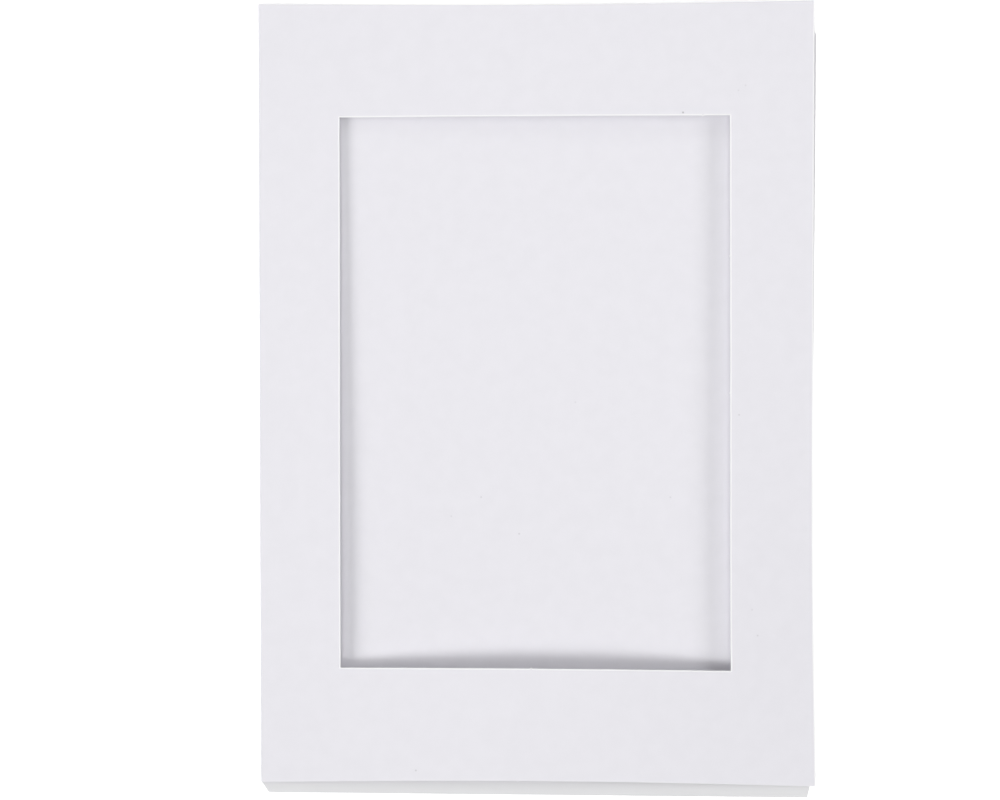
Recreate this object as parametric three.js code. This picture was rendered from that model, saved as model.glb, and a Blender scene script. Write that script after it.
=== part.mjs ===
// A folded picture mount in white card: one die-cut sheet with a single fold down its left side.
// The back panel lies flat. The front panel, with the window cut in it, springs up in a low arch.
// Units are millimetres. +X runs from the fold to the free edge, +Y from the foot to the head, +Z up.
// The origin is on the underside of the back panel, behind the middle of the window.

import * as THREE from "three";

// The card
const cardThickness = 0.4;
const cardColour = 0xe8e8ed;
const cardRoughness = 0.85;

// The front panel and its window
const panelWidth = 210; // from the line of the fold to the free edge
const foldBarWidth = 31; // from the outside of the fold to the window
const mountHeight = 297;
const windowWidth = 148;
const windowHeight = 210;

// How far the front's edges are drawn in at their middles, and how far its foot is out of square
const headHollow = 1.2;
const footHollow = 1.9;
const windowFootHollow = 1.1;
const freeHollow = 0.6;
const footSlant = THREE.MathUtils.degToRad(0.64);

// The space between the two panels, between their inner faces
const foldGap = 1.6; // beside the fold
const freeGapAtHead = 5; // at the free edge
const freeGapAtFoot = 1;

// How far the front panel arches up between the fold and the free edge
const archAtHead = 1.5;
const archAtFoot = 5;
const archBelly = 3.8; // added to the arch between head and foot, most of it towards the foot

// The back panel, which is longer at the foot and turned a little by a fold that is out of square
const backShortfall = 0.6; // how much narrower it is than the front
const backReveal = 4.2;
const backTurn = THREE.MathUtils.degToRad(0.7);
const foldCornerCut = { width: 2.7, height: backReveal }; // wide from the outside of the fold
const footCornerCut = { width: 1, height: 4 };
const headCornerCut = { width: 9.5, height: 9.5 };

// Nibs of card that the cutting die left standing on the edges
const nibHeight = 0.45;
const nibWidth = 1.1;
const windowFootNibs = [-1.7]; // X of each
const windowHeadNibs = [63.7];
const windowFreeNibs = [0, 51.8]; // Y of each
const footNibs = [-7];

// How finely the curved sheet is divided
const barSteps = 4;
const windowColumns = 12;
const windowRows = 7;
const foldSteps = 8;

const { lerp, mapLinear } = THREE.MathUtils;
const foldRadius = (foldGap + cardThickness) / 2; // of the middle of the card's thickness
const windowX = windowWidth / 2;
const windowY = windowHeight / 2;
const foldX = -windowX - foldBarWidth + foldRadius + cardThickness / 2;
const freeX = foldX + panelWidth;
const backWidth = panelWidth - backShortfall;
const footY = -mountHeight / 2;
const headY = mountHeight / 2;

// How far an edge stands out at a place along it, where the nibs are.
function nibRise(place, nibs) {
  const reach = nibWidth / 2;
  const rises = nibs.map((nib) => nibHeight * Math.max(0, 1 - Math.abs(place - nib) / reach));
  return Math.max(0, ...rises);
}

// How far below its middle the slanting foot is, at a distance across the panel from the fold.
function footDrop(across) {
  return Math.tan(footSlant) * (across - panelWidth / 2);
}

// How far a cut corner takes an edge in, at a distance from the corner.
function cutRise(cut, distance) {
  return cut.height * Math.max(0, 1 - distance / cut.width);
}

// The share of the way down from the head to the foot.
function downShare(y) {
  return (headY - y) / mountHeight;
}

// The height of the arch's crown at a share of the way down.
function archHeight(down) {
  return lerp(archAtHead, archAtFoot, down) + archBelly * Math.sin(Math.PI * down ** 2);
}

// A point of the front panel, from its distance across the flat sheet and its height up it.
// The arch takes up some of the card's width, so the free edge draws in a little.
function frontPoint(x, y) {
  const across = x - foldX;
  const down = downShare(y);
  const turn = (Math.PI * across) / panelWidth;
  const arch = archHeight(down);
  const steepest = (Math.PI * arch) / panelWidth;
  const takenUp = (steepest ** 2 / 4) * (across + (panelWidth / (2 * Math.PI)) * Math.sin(2 * turn));
  const freeGap = lerp(freeGapAtHead, freeGapAtFoot, down);
  const gap = lerp(foldGap, freeGap, across / panelWidth) + arch * Math.sin(turn);
  return new THREE.Vector3(x - takenUp, y, 1.5 * cardThickness + gap);
}

// The front panel's outward direction, from two short steps along it.
function frontNormal(x, y) {
  const step = 0.01;
  const here = frontPoint(x, y);
  const alongX = frontPoint(x + step, y).sub(here);
  const alongY = frontPoint(x, y + step).sub(here);
  return alongX.cross(alongY).normalize();
}

// Places from the first edge to the last, evenly spaced between edges, with three for each nib.
function stations(edges, counts, nibs) {
  const places = [edges[0]];
  counts.forEach((count, band) => {
    for (let i = 1; i <= count; i++) places.push(lerp(edges[band], edges[band + 1], i / count));
  });
  const near = (place) => nibs.some((nib) => Math.abs(place - nib) < nibWidth);
  const kept = places.filter((place) => edges.includes(place) || !near(place));
  const nibPlaces = nibs.flatMap((nib) => [nib - nibWidth / 2, nib, nib + nibWidth / 2]);
  return [...kept, ...nibPlaces].sort((a, b) => a - b);
}

// A column of the sheet runs from its foot to its head, past the two levels of the window's edges.
function columnHeight(level, column) {
  if (level < -windowY) return mapLinear(level, footY, -windowY, column.foot, column.windowFoot);
  if (level > windowY) return mapLinear(level, windowY, headY, column.windowHead, column.head);
  return mapLinear(level, -windowY, windowY, column.windowFoot, column.windowHead);
}

function backColumn(share) {
  const across = share * backWidth;
  const fromFree = backWidth - across;
  const slant = Math.tan(backTurn);
  const foldCut = cutRise(foldCornerCut, across + foldRadius);
  const footCut = Math.max(foldCut, cutRise(footCornerCut, fromFree));
  const column = {
    foot: footY - footDrop(0) - backReveal - slant * across + footCut,
    windowFoot: -windowY,
    windowHead: windowY,
    head: headY - slant * across - cutRise(headCornerCut, fromFree),
  };
  column.place = (level) => {
    const y = columnHeight(level, column);
    const x = foldX + across + share * slant * y;
    return { point: new THREE.Vector3(x, y, cardThickness / 2), normal: new THREE.Vector3(0, 0, -1) };
  };
  return column;
}

// A column on the fold, at an angle round it from the back panel to the front panel.
// The corner cut at the back panel's foot runs on round the under half of the fold.
function foldColumn(angle) {
  const fromOutside = foldRadius * (1 - Math.sin(angle));
  const longer = angle < Math.PI / 2 ? backReveal - cutRise(foldCornerCut, fromOutside) : 0;
  const foot = footY - footDrop(0) - longer;
  const column = { foot, windowFoot: -windowY - footDrop(0), windowHead: windowY, head: headY };
  const normal = new THREE.Vector3(-Math.sin(angle), 0, -Math.cos(angle));
  const centre = new THREE.Vector3(foldX, 0, cardThickness / 2 + foldRadius);
  column.place = (level) => {
    const point = centre.clone().addScaledVector(normal, foldRadius);
    point.y = columnHeight(level, column);
    return { point, normal };
  };
  return column;
}

function frontColumn(x) {
  const drop = footDrop(x - foldX);
  const draw = Math.sin((Math.PI * (x - foldX)) / panelWidth);
  const column = {
    foot: footY - drop + footHollow * draw - nibRise(x, footNibs),
    windowFoot: -windowY - drop + windowFootHollow * draw + nibRise(x, windowFootNibs),
    windowHead: windowY - nibRise(x, windowHeadNibs),
    head: headY - headHollow * draw,
    inWindow: Math.abs(x) < windowX,
  };
  const freeDraw = freeHollow * Math.max(0, mapLinear(x, windowX, freeX, 0, 1));
  column.place = (level) => {
    const y = columnHeight(level, column);
    const onWindowEdge = x === windowX && Math.abs(level) < windowY;
    const nib = onWindowEdge ? nibRise(level, windowFreeNibs) : 0;
    const drawnX = x - nib - freeDraw * Math.sin(Math.PI * downShare(y));
    return { point: frontPoint(drawnX, y), normal: frontNormal(drawnX, y) };
  };
  return column;
}

// The columns of the whole sheet, from the free edge of the back, round the fold, to that of the front.
function sheetColumns() {
  const cutWidths = [foldCornerCut.width - foldRadius, footCornerCut.width, headCornerCut.width];
  const [foldCut, footCut, headCut] = cutWidths.map((width) => width / backWidth);
  const seat = [0.75, 0.5, 0.25]; // columns across the flat middle of the back panel
  const backShares = [1, 1 - footCut, 1 - headCut, ...seat, foldCut, 0];
  const foldAngles = Array.from({ length: foldSteps - 1 }, (_, i) => (Math.PI * (i + 1)) / foldSteps);
  const frontEdges = [foldX, -windowX, windowX, freeX];
  const nibs = [...windowFootNibs, ...windowHeadNibs, ...footNibs];
  const frontPlaces = stations(frontEdges, [barSteps, windowColumns, barSteps], nibs);
  return [
    ...backShares.map(backColumn),
    ...foldAngles.map(foldColumn),
    ...frontPlaces.map(frontColumn),
  ];
}

// A sheet of the card's thickness over a grid of columns and levels, open where isCut says so.
function sheetGeometry(columns, levels, isCut) {
  const positions = [];
  for (const column of columns) {
    for (const level of levels) {
      const { point, normal } = column.place(level);
      const outer = point.clone().addScaledVector(normal, cardThickness / 2);
      const inner = point.clone().addScaledVector(normal, -cardThickness / 2);
      positions.push(...outer, ...inner);
    }
  }

  const outerVertex = (c, l) => 2 * (c * levels.length + l);
  const innerVertex = (c, l) => outerVertex(c, l) + 1;
  const isCard = (c, l) =>
    c >= 0 && l >= 0 && c < columns.length - 1 && l < levels.length - 1 && !isCut(c, l);

  const triangles = [];
  const addQuad = (a, b, c, d) => triangles.push(a, b, c, a, c, d);
  const addWall = ([c0, l0], [c1, l1]) =>
    addQuad(outerVertex(c1, l1), outerVertex(c0, l0), innerVertex(c0, l0), innerVertex(c1, l1));

  for (let c = 0; c < columns.length - 1; c++) {
    for (let l = 0; l < levels.length - 1; l++) {
      if (!isCard(c, l)) continue;
      const corners = [[c, l], [c + 1, l], [c + 1, l + 1], [c, l + 1]];
      addQuad(...corners.map((corner) => outerVertex(...corner)));
      addQuad(...corners.toReversed().map((corner) => innerVertex(...corner)));
      const neighbours = [[c, l - 1], [c + 1, l], [c, l + 1], [c - 1, l]];
      neighbours.forEach((neighbour, side) => {
        if (!isCard(...neighbour)) addWall(corners[side], corners[(side + 1) % 4]);
      });
    }
  }

  const geometry = new THREE.BufferGeometry();
  geometry.setAttribute("position", new THREE.Float32BufferAttribute(positions, 3));
  geometry.setIndex(triangles);
  geometry.computeVertexNormals();
  return geometry;
}

function makeFoldedMount() {
  const columns = sheetColumns();
  const levelEdges = [footY, -windowY, windowY, headY];
  const levels = stations(levelEdges, [barSteps, windowRows, barSteps], windowFreeNibs);
  const isCut = (c, l) => {
    const betweenColumns = columns[c].inWindow || columns[c + 1].inWindow;
    return betweenColumns && levels[l] >= -windowY && levels[l + 1] <= windowY;
  };
  const card = new THREE.MeshStandardMaterial({
    color: cardColour,
    roughness: cardRoughness,
    metalness: 0,
    side: THREE.DoubleSide,
  });
  const mount = new THREE.Mesh(sheetGeometry(columns, levels, isCut), card);
  mount.name = "folded_mount";
  return mount;
}

const pictureMount = new THREE.Group();
pictureMount.add(makeFoldedMount());

export default pictureMount;
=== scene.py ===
"""A folded picture mount in white card, lying on a pale floor under soft studio light.

The mount is one die-cut sheet: a flat back panel, a fold down its left side and a front panel
with a window, which springs up in a low arch. Lengths are in metres, as in the CAD frame.
"""
import math

import bpy
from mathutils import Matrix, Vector


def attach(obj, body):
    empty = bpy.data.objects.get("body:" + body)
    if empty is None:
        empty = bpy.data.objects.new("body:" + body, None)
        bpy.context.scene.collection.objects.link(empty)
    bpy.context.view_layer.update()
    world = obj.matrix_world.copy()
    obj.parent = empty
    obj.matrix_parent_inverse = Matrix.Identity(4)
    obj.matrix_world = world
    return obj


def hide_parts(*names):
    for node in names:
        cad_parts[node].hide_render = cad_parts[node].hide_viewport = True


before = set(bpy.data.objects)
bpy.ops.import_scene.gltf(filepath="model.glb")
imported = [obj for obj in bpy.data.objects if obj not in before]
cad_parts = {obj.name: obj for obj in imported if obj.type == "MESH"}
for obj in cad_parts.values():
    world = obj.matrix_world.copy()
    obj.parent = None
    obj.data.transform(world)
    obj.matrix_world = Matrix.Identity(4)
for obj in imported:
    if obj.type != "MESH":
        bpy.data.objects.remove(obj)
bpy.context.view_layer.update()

MM = 0.001

# The front panel and its window
CARD_THICKNESS = 0.4 * MM
PANEL_WIDTH = 210 * MM
FOLD_BAR_WIDTH = 31 * MM
MOUNT_HEIGHT = 297 * MM
WINDOW_WIDTH = 148 * MM
WINDOW_HEIGHT = 210 * MM

# How far the front's edges are drawn in at their middles, and how far its foot is out of square
HEAD_HOLLOW = 1.2 * MM
FOOT_HOLLOW = 1.9 * MM
WINDOW_FOOT_HOLLOW = 1.1 * MM
FREE_HOLLOW = 0.6 * MM
FOOT_SLANT = math.radians(0.64)

# The space between the panels, and the arch of the front one
FOLD_GAP = 1.6 * MM
FREE_GAP_AT_HEAD = 5 * MM
FREE_GAP_AT_FOOT = 1 * MM
ARCH_AT_HEAD = 1.5 * MM
ARCH_AT_FOOT = 5 * MM
ARCH_BELLY = 3.8 * MM

# The back panel: each corner cut is its width and its height, at the fold from its outside
BACK_SHORTFALL = 0.6 * MM
BACK_REVEAL = 4.2 * MM
BACK_TURN = math.radians(0.7)
FOLD_CORNER_CUT = (2.7 * MM, BACK_REVEAL)
FOOT_CORNER_CUT = (1 * MM, 4 * MM)
HEAD_CORNER_CUT = (9.5 * MM, 9.5 * MM)

# Nibs of card that the cutting die left standing on the edges
NIB_HEIGHT = 0.45 * MM
NIB_WIDTH = 1.1 * MM
WINDOW_FOOT_NIBS = [-1.7 * MM]
WINDOW_HEAD_NIBS = [63.7 * MM]
WINDOW_FREE_NIBS = [0, 51.8 * MM]
FOOT_NIBS = [-7 * MM]

# The mesh: its spacing on the open sheet, lines close to every cut edge for the painted highlight
# there, and lines across each nib, in halves of its width from its middle
SHEET_STEP = 3 * MM
NORMAL_STEP = 0.01 * MM
RIM_LINES = [0.4 * MM, 0.6 * MM]
NIB_LINES = [-1, -0.5, 0, 0.5, 1]
FOLD_STEPS = 20
CUT_ROUNDING = 0.09 * MM
ROUNDING_SEGMENTS = 2
ROUNDED_ANGLE = math.radians(50)

# The look of the card. A noise is its scale for each metre and its detail.
CARD_COLOUR = (0.83, 0.82, 0.863, 1)
CARD_SHEEN = 0.35
CARD_ROUGHNESS = 0.78
ROUGHNESS_SPREAD = 0.05
CLOUD_NOISE = (160, 4)
CLOUD_RANGE = (0.35, 0.65)
CLOUD_SHADE = 0.985
FELT_NOISE = (420, 2)
FELT_RANGE = (0.3, 0.7)
FIBRE_NOISE = (2600, 3)
FIBRE_SHARE = 0.35
RELIEF_STRENGTH = 0.35
RELIEF_HEIGHT = 0.02 * MM

# A painted highlight along the cuts, partly the card's paler core, which is weaker along the outer foot
# and head
CUT_HIGHLIGHT_COLOUR = (0.97, 0.97, 0.98, 1)
CUT_HIGHLIGHT_SHARE = 0.9
OUTER_RIM_HIGHLIGHT = 0.15

# The strip at the foot that the front panel leaves open, painted darker and greyer as shade under the
# front panel's edge
FOOT_STRIP_SHADE_COLOUR = (0.785, 0.785, 0.795, 1)

# Specks of grey fibre in the card: the place of each, as the photograph shows it, and how dark it is
SPECKS = [
    ((79.9 * MM, 116.3 * MM), 0.15),
    ((77.2 * MM, 114.4 * MM), 0.15),
    ((56.2 * MM, 106.1 * MM), 0.6),
    ((15.2 * MM, -3.4 * MM), 0.15),
    ((77.0 * MM, -8.4 * MM), 0.24),
    ((-20.8 * MM, -39.4 * MM), 0.24),
    ((51.2 * MM, -39.7 * MM), 0.2),
    ((-32.2 * MM, -46.6 * MM), 0.15),
    ((-6.4 * MM, -53.4 * MM), 0.28),
    ((81.7 * MM, -82.2 * MM), 0.15),
    ((83.8 * MM, -92.0 * MM), 0.22),
    ((-45.8 * MM, -142.6 * MM), 0.3),
]
SPECK_COLOUR = (0.25, 0.24, 0.26, 1)
SPECK_RADIUS = 0.5 * MM
SPECK_CORE = SPECK_RADIUS / 4

# The camera looks down, almost straight, and sees this width of the floor
FRAME_WIDTH = 0.3807
CAMERA_PLACE = Vector((-0.0039, -0.0025, 1.1))
CAMERA_LEAN = math.radians(0.5)
CAMERA_ROLL = math.radians(-0.2)
SENSOR_WIDTH = 36

# Light: the way to each lamp from the mount, its distance, its size and its share of the light
WHITE = (1, 1, 1, 1)
WORLD_SHARE = 0.115
LAMPS = {
    "key_from_the_fold_side": ((-1.27, -0.52, 1), 9, 4.0, 0.315),
    "fill_from_the_foot": ((-0.03, -0.58, 1), 7, 2.6, 0.235),
    "fill_from_the_free_side": ((1.8, 0.2, 1), 7, 2.4, 0.16),
    "fill_from_the_head": ((-0.2, 1.4, 1), 2.5, 0.9, 0.07),
    "top_light": ((0, 0.17, 1), 0.5, 0.3, 0.15),
}

# The floor: how bright the camera sees it by itself, and between which distances that grows to white
FLOOR_SIZE = 20
FLOOR_COLOUR = (0.95, 0.95, 0.95, 1)
FLOOR_ROUGHNESS = 0.9
FLOOR_LIFT = 0.5
FLOOR_FADE = (0.4, 2)

# Lengths that follow from those above
fold_radius = (FOLD_GAP + CARD_THICKNESS) / 2
window_x = WINDOW_WIDTH / 2
window_y = WINDOW_HEIGHT / 2
fold_x = -window_x - FOLD_BAR_WIDTH + fold_radius + CARD_THICKNESS / 2
free_x = fold_x + PANEL_WIDTH
back_width = PANEL_WIDTH - BACK_SHORTFALL
foot_y = -MOUNT_HEIGHT / 2
head_y = MOUNT_HEIGHT / 2


def lerp(a, b, share):
    return a + (b - a) * share


def map_linear(value, a, b, to_a, to_b):
    return lerp(to_a, to_b, (value - a) / (b - a))


# The form of the sheet


def nib_rise(place, nibs):
    """How far an edge stands out at a place along it, where the nibs are."""
    rises = [NIB_HEIGHT * max(0, 1 - abs(place - nib) / (NIB_WIDTH / 2)) for nib in nibs]
    return max([0] + rises)


def foot_drop(across):
    """How far below its middle the slanting foot is, at a distance across the panel."""
    return math.tan(FOOT_SLANT) * (across - PANEL_WIDTH / 2)


def down_share(y):
    """The share of the way down from the head to the foot."""
    return (head_y - y) / MOUNT_HEIGHT


def cut_rise(cut, distance):
    """How far a cut corner takes an edge in, at a distance from the corner."""
    width, height = cut
    return height * max(0, 1 - distance / width)


def front_point(x, y):
    """A point in the middle of the front panel's thickness, on the arch.

    The arch takes up some of the card's width, so the free edge draws in a little.
    """
    across = x - fold_x
    down = down_share(y)
    turn = math.pi * across / PANEL_WIDTH
    arch = lerp(ARCH_AT_HEAD, ARCH_AT_FOOT, down) + ARCH_BELLY * math.sin(math.pi * down**2)
    steepest = math.pi * arch / PANEL_WIDTH
    taken_up = steepest**2 / 4 * (across + PANEL_WIDTH / (2 * math.pi) * math.sin(2 * turn))
    free_gap = lerp(FREE_GAP_AT_HEAD, FREE_GAP_AT_FOOT, down)
    gap = lerp(FOLD_GAP, free_gap, across / PANEL_WIDTH) + arch * math.sin(turn)
    return Vector((x - taken_up, y, 1.5 * CARD_THICKNESS + gap))


def front_normal(x, y):
    """The front panel's outward direction, from two short steps along it."""
    here = front_point(x, y)
    along_x = front_point(x + NORMAL_STEP, y) - here
    along_y = front_point(x, y + NORMAL_STEP) - here
    return along_x.cross(along_y).normalized()


class Column:
    """A line across the sheet from its foot to its head, past the levels of the window's edges."""

    def __init__(self, foot, head, window_foot=-window_y, window_head=window_y, in_window=False):
        self.foot = foot
        self.head = head
        self.window_foot = window_foot
        self.window_head = window_head
        self.in_window = in_window

    def height(self, level):
        if level < -window_y:
            return map_linear(level, foot_y, -window_y, self.foot, self.window_foot)
        if level > window_y:
            return map_linear(level, window_y, head_y, self.window_head, self.head)
        return map_linear(level, -window_y, window_y, self.window_foot, self.window_head)


class BackColumn(Column):
    """A column of the flat back panel, at a distance across it from the fold."""

    def __init__(self, across):
        slant = math.tan(BACK_TURN)
        from_free = back_width - across
        fold_cut = cut_rise(FOLD_CORNER_CUT, across + fold_radius)
        foot_cut = max(fold_cut, cut_rise(FOOT_CORNER_CUT, from_free))
        foot = foot_y - foot_drop(0) - BACK_REVEAL - slant * across + foot_cut
        head = head_y - slant * across - cut_rise(HEAD_CORNER_CUT, from_free)
        super().__init__(foot, head)
        self.across = across
        self.lean = slant * across / back_width

    def place(self, level):
        y = self.height(level)
        return Vector((fold_x + self.across + self.lean * y, y, CARD_THICKNESS / 2)), Vector((0, 0, -1))


class FoldColumn(Column):
    """A column on the fold, at an angle round it from the back panel to the front panel.

    The corner cut at the back panel's foot runs on round the under half of the fold.
    """

    def __init__(self, angle):
        longer = 0
        if angle < math.pi / 2:
            from_outside = fold_radius * (1 - math.sin(angle))
            longer = BACK_REVEAL - cut_rise(FOLD_CORNER_CUT, from_outside)
        super().__init__(foot_y - foot_drop(0) - longer, head_y, -window_y - foot_drop(0))
        self.normal = Vector((-math.sin(angle), 0, -math.cos(angle)))

    def place(self, level):
        centre = Vector((fold_x, self.height(level), CARD_THICKNESS / 2 + fold_radius))
        return centre + fold_radius * self.normal, self.normal


class FrontColumn(Column):
    """A column of the front panel, at its X on the flat sheet."""

    def __init__(self, x):
        drop = foot_drop(x - fold_x)
        draw = math.sin(math.pi * (x - fold_x) / PANEL_WIDTH)
        foot = foot_y - drop + FOOT_HOLLOW * draw - nib_rise(x, FOOT_NIBS)
        head = head_y - HEAD_HOLLOW * draw
        window_foot = -window_y - drop + WINDOW_FOOT_HOLLOW * draw + nib_rise(x, WINDOW_FOOT_NIBS)
        window_head = window_y - nib_rise(x, WINDOW_HEAD_NIBS)
        super().__init__(foot, head, window_foot, window_head, abs(x) < window_x)
        self.x = x
        self.free_draw = FREE_HOLLOW * max(0, map_linear(x, window_x, free_x, 0, 1))

    def place(self, level):
        y = self.height(level)
        on_window_edge = self.x == window_x and abs(level) < window_y
        nib = nib_rise(level, WINDOW_FREE_NIBS) if on_window_edge else 0
        x = self.x - nib - self.free_draw * math.sin(math.pi * down_share(y))
        return front_point(x, y), front_normal(x, y)


# The mesh of the sheet


def stations(edges, cut_edges, nibs=()):
    """Places from the first edge to the last, closer beside the cut edges and at the nibs."""
    places = set(edges)
    for start, end in zip(edges, edges[1:]):
        count = max(1, round((end - start) / SHEET_STEP))
        places.update(lerp(start, end, i / count) for i in range(1, count))
    rims = [edge + side * line for edge in cut_edges for line in RIM_LINES for side in (-1, 1)]
    details = [rim for rim in rims if edges[0] < rim < edges[-1]]
    for nib in nibs:
        details += [nib + NIB_WIDTH / 2 * line for line in NIB_LINES]

    def is_clear(place):
        return all(abs(place - detail) > RIM_LINES[0] for detail in details)

    kept = [place for place in places if place in edges or is_clear(place)]
    return sorted(kept + details)


def sheet_columns():
    """The columns of the whole sheet, from the back's free edge round the fold to the front's."""
    fold_cut = FOLD_CORNER_CUT[0] - fold_radius
    free_cuts = [back_width - cut[0] for cut in (HEAD_CORNER_CUT, FOOT_CORNER_CUT)]
    back_places = stations([0, fold_cut, *free_cuts, back_width], [back_width])
    angles = [math.pi * i / FOLD_STEPS for i in range(1, FOLD_STEPS)]
    front_edges = [fold_x, -window_x, window_x, free_x]
    nibs = WINDOW_FOOT_NIBS + WINDOW_HEAD_NIBS + FOOT_NIBS
    columns = [BackColumn(across) for across in reversed(back_places)]
    columns += [FoldColumn(angle) for angle in angles]
    columns += [FrontColumn(x) for x in stations(front_edges, front_edges[1:], nibs)]
    return columns


def sheet_mesh(name, columns, levels, is_cut):
    """A mesh of the card's thickness over a grid of columns and levels, open where is_cut says so.

    An attribute on the mesh masks the painted highlight along the cuts: it is 1 on the cut edges and on
    the line beside them, less along the outer foot and head, and 0 everywhere else.
    """
    rows = len(levels)
    vertices = []
    for column in columns:
        for level in levels:
            point, normal = column.place(level)
            vertices.append(point + normal * CARD_THICKNESS / 2)
            vertices.append(point - normal * CARD_THICKNESS / 2)

    def outer(place):
        return 2 * (place[0] * rows + place[1])

    def inner(place):
        return outer(place) + 1

    def is_card(c, r):
        return 0 <= c < len(columns) - 1 and 0 <= r < rows - 1 and not is_cut(c, r)

    faces = []
    rim = [0.0] * len(vertices)
    for c in range(len(columns) - 1):
        for r in range(rows - 1):
            if not is_card(c, r):
                continue
            corners = [(c, r), (c + 1, r), (c + 1, r + 1), (c, r + 1)]
            faces.append([outer(corner) for corner in corners])
            faces.append([inner(corner) for corner in reversed(corners)])

            # A cell's sides run from its foot round the free side and the head to the fold's.
            neighbours = [(c, r - 1), (c + 1, r), (c, r + 1), (c - 1, r)]
            for side, neighbour in enumerate(neighbours):
                if is_card(*neighbour):
                    continue
                a, b = corners[side], corners[(side + 1) % 4]
                faces.append([outer(b), outer(a), inner(a), inner(b)])
                # The painted highlight is weaker along the outer foot and head.
                strength = OUTER_RIM_HIGHLIGHT if r in (0, rows - 2) and side in (0, 2) else 1
                for corner in corners:
                    for index in (outer(corner), inner(corner)):
                        rim[index] = max(rim[index], strength)

    used = sorted({index for face in faces for index in face})
    place_of = {index: i for i, index in enumerate(used)}
    mesh = bpy.data.meshes.new(name)
    mesh.from_pydata([vertices[i] for i in used], [], [[place_of[i] for i in face] for face in faces])
    attribute = mesh.attributes.new("cut_highlight_rim", "FLOAT", "POINT")
    attribute.data.foreach_set("value", [rim[i] for i in used])
    mesh.shade_smooth()
    mesh.update()
    return mesh


def make_mount():
    columns = sheet_columns()
    level_edges = [foot_y, -window_y, window_y, head_y]
    levels = stations(level_edges, level_edges, WINDOW_FREE_NIBS)

    def is_cut(c, r):
        between_columns = columns[c].in_window or columns[c + 1].in_window
        return between_columns and levels[r] >= -window_y and levels[r + 1] <= window_y

    mount = bpy.data.objects.new("card_mount", sheet_mesh("card_mount", columns, levels, is_cut))
    bpy.context.scene.collection.objects.link(mount)
    rounding = mount.modifiers.new("rounded cut edges", "BEVEL")
    rounding.width = CUT_ROUNDING
    rounding.segments = ROUNDING_SEGMENTS
    rounding.limit_method = "ANGLE"
    rounding.angle_limit = ROUNDED_ANGLE
    evening = mount.modifiers.new("even normals", "WEIGHTED_NORMAL")
    evening.keep_sharp = True
    return mount


# Nodes


def add_node(tree, kind, **settings):
    node = tree.nodes.new(kind)
    for key, value in settings.items():
        setattr(node, key, value)
    return node


def feed(tree, socket, value):
    """Link a socket to another node's output, or set it to a number, a place or a colour."""
    if isinstance(value, bpy.types.NodeSocket):
        tree.links.new(value, socket)
    else:
        socket.default_value = value


def join(tree, operation, first, second):
    """Two numbers joined by an operation such as ADD or MULTIPLY."""
    node = add_node(tree, "ShaderNodeMath", operation=operation)
    feed(tree, node.inputs[0], first)
    feed(tree, node.inputs[1], second)
    return node.outputs["Value"]


def distance_between(tree, first, second):
    node = add_node(tree, "ShaderNodeVectorMath", operation="DISTANCE")
    feed(tree, node.inputs[0], first)
    feed(tree, node.inputs[1], second)
    return node.outputs["Value"]


def ramp(tree, value, low, high, to_low=0, to_high=1):
    """A value that runs from to_low to to_high while the one given runs from low to high."""
    node = add_node(tree, "ShaderNodeMapRange", clamp=True)
    feed(tree, node.inputs["Value"], value)
    numbers = {"From Min": low, "From Max": high, "To Min": to_low, "To Max": to_high}
    for name, number in numbers.items():
        node.inputs[name].default_value = number
    return node.outputs["Result"]


def noise(tree, place, scale, detail):
    node = add_node(tree, "ShaderNodeTexNoise")
    node.inputs["Scale"].default_value = scale
    node.inputs["Detail"].default_value = detail
    feed(tree, node.inputs["Vector"], place)
    return node.outputs["Fac"]


def mix_colour(tree, factor, first, second):
    node = add_node(tree, "ShaderNodeMix", data_type="RGBA")
    feed(tree, node.inputs["Factor"], factor)
    for name, value in (("A", first), ("B", second)):
        socket = next(s for s in node.inputs if s.name == name and s.type == "RGBA")
        feed(tree, socket, value)
    return next(s for s in node.outputs if s.type == "RGBA")


def object_place(tree):
    return add_node(tree, "ShaderNodeTexCoord").outputs["Object"]


def seen_rays(tree):
    """1 for a ray from the camera, or one mirrored or passed on by glass, and 0 for any other."""
    rays = add_node(tree, "ShaderNodeLightPath").outputs
    mirrored = join(tree, "MAXIMUM", rays["Is Camera Ray"], rays["Is Glossy Ray"])
    return join(tree, "MAXIMUM", mirrored, rays["Is Transmission Ray"])


# Materials


def new_material(name):
    material = bpy.data.materials.new(name)
    material.use_nodes = True
    tree = material.node_tree
    return material, tree, tree.nodes["Principled BSDF"].inputs


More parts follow.
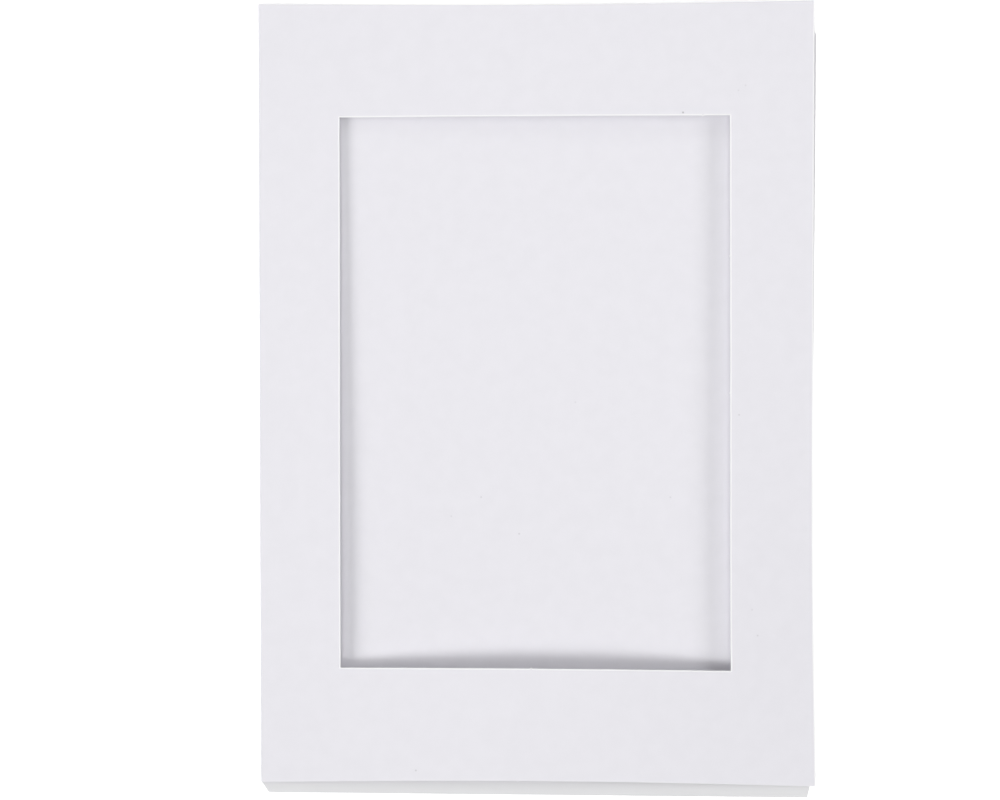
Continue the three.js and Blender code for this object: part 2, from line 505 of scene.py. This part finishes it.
def card_colour(tree, place):
    """The colour of the card: cloudy, with a painted highlight along its cuts, painted shade on the
    strip at the foot, and specks.
    """
    cloud = ramp(tree, noise(tree, place, *CLOUD_NOISE), *CLOUD_RANGE)
    darker = (*(channel * CLOUD_SHADE for channel in CARD_COLOUR[:3]), 1)
    colour = mix_colour(tree, cloud, darker, CARD_COLOUR)

    # Painted highlight along the cuts, partly the card's paler core.
    rim = add_node(tree, "ShaderNodeAttribute", attribute_name="cut_highlight_rim").outputs["Fac"]
    colour = mix_colour(tree, join(tree, "MULTIPLY", rim, CUT_HIGHLIGHT_SHARE), colour, CUT_HIGHLIGHT_COLOUR)

    axes = add_node(tree, "ShaderNodeSeparateXYZ")
    feed(tree, axes.inputs["Vector"], place)
    # Painted shade: the back panel's strip below the front's foot is coloured darker and greyer.
    on_back = ramp(tree, axes.outputs["Z"], 1.5 * CARD_THICKNESS, 2 * CARD_THICKNESS, 1, 0)
    at_foot = ramp(tree, axes.outputs["Y"], foot_y, foot_y + FOOT_HOLLOW, 1, 0)
    colour = mix_colour(tree, join(tree, "MULTIPLY", on_back, at_foot), colour, FOOT_STRIP_SHADE_COLOUR)

    from_above = add_node(tree, "ShaderNodeCombineXYZ")
    for axis in ("X", "Y"):
        feed(tree, from_above.inputs[axis], axes.outputs[axis])
    for speck, darkness in SPECKS:
        away = distance_between(tree, from_above.outputs["Vector"], (*speck, 0))
        spot = ramp(tree, away, SPECK_CORE, SPECK_RADIUS, darkness, 0)
        colour = mix_colour(tree, spot, colour, SPECK_COLOUR)
    return colour


def make_card_material():
    """White card whose felt marks and fibres raise its surface a few microns."""
    material, tree, shader = new_material("white_card")
    place = object_place(tree)
    feed(tree, shader["Base Color"], card_colour(tree, place))

    felt = noise(tree, place, *FELT_NOISE)
    fibres = join(tree, "MULTIPLY", noise(tree, place, *FIBRE_NOISE), FIBRE_SHARE)
    relief = add_node(tree, "ShaderNodeBump")
    relief.inputs["Strength"].default_value = RELIEF_STRENGTH
    relief.inputs["Distance"].default_value = RELIEF_HEIGHT
    feed(tree, relief.inputs["Height"], join(tree, "ADD", fibres, felt))
    feed(tree, shader["Normal"], relief.outputs["Normal"])

    least = CARD_ROUGHNESS - ROUGHNESS_SPREAD
    most = CARD_ROUGHNESS + ROUGHNESS_SPREAD
    feed(tree, shader["Roughness"], ramp(tree, felt, *FELT_RANGE, least, most))
    shader["Specular IOR Level"].default_value = CARD_SHEEN
    return material


def make_floor_material():
    """A pale matt floor. The camera sees it lifted, white beside the card and plain white far away."""
    material, tree, shader = new_material("pale_floor")
    away = distance_between(tree, object_place(tree), (0, 0, 0))
    lift = ramp(tree, away, *FLOOR_FADE, FLOOR_LIFT, 1)
    shader["Base Color"].default_value = FLOOR_COLOUR
    shader["Roughness"].default_value = FLOOR_ROUGHNESS
    shader["Specular IOR Level"].default_value = 0
    shader["Emission Color"].default_value = WHITE
    feed(tree, shader["Emission Strength"], join(tree, "MULTIPLY", seen_rays(tree), lift))
    return material


# Stage


def make_floor():
    bpy.ops.mesh.primitive_plane_add(size=FLOOR_SIZE)
    floor = bpy.context.object
    floor.name = "floor"
    floor.data.materials.append(make_floor_material())
    return floor


def make_world():
    """An even white surround: white where the camera sees it, and a plain fill for the object."""
    world = bpy.data.worlds.new("studio")
    bpy.context.scene.world = world
    world.use_nodes = True
    tree = world.node_tree
    background = tree.nodes["Background"].inputs
    background["Color"].default_value = WHITE
    feed(tree, background["Strength"], ramp(tree, seen_rays(tree), 0, 1, WORLD_SHARE, 1))


def make_lamp(name, way, distance, size, share):
    """A square soft lamp aimed at the origin, which gives a flat sheet there its share of the light."""
    direction = Vector(way).normalized()
    light = bpy.data.lights.new(name, "AREA")
    light.size = size
    light.energy = share * math.pi**2 * distance**2 / direction.z
    lamp = bpy.data.objects.new(name, light)
    lamp.location = direction * distance
    lamp.rotation_euler = direction.to_track_quat("Z", "Y").to_euler()
    bpy.context.scene.collection.objects.link(lamp)


def make_camera():
    """The photograph's camera, which looks straight down but for a slight lean to the fold's side."""
    data = bpy.data.cameras.new("photo_camera")
    data.sensor_fit = "HORIZONTAL"
    data.sensor_width = SENSOR_WIDTH
    data.lens = SENSOR_WIDTH * CAMERA_PLACE.z / FRAME_WIDTH
    camera = bpy.data.objects.new("photo_camera", data)
    camera.location = CAMERA_PLACE
    camera.rotation_euler = (0, CAMERA_LEAN, CAMERA_ROLL)
    bpy.context.scene.collection.objects.link(camera)
    bpy.context.scene.camera = camera


make_camera()
make_world()
for lamp_name, settings in LAMPS.items():
    make_lamp(lamp_name, *settings)
bpy.context.scene.view_settings.view_transform = "Standard"

make_floor()
mount = make_mount()
mount.data.materials.append(make_card_material())
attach(mount, "root")
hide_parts("folded_mount")
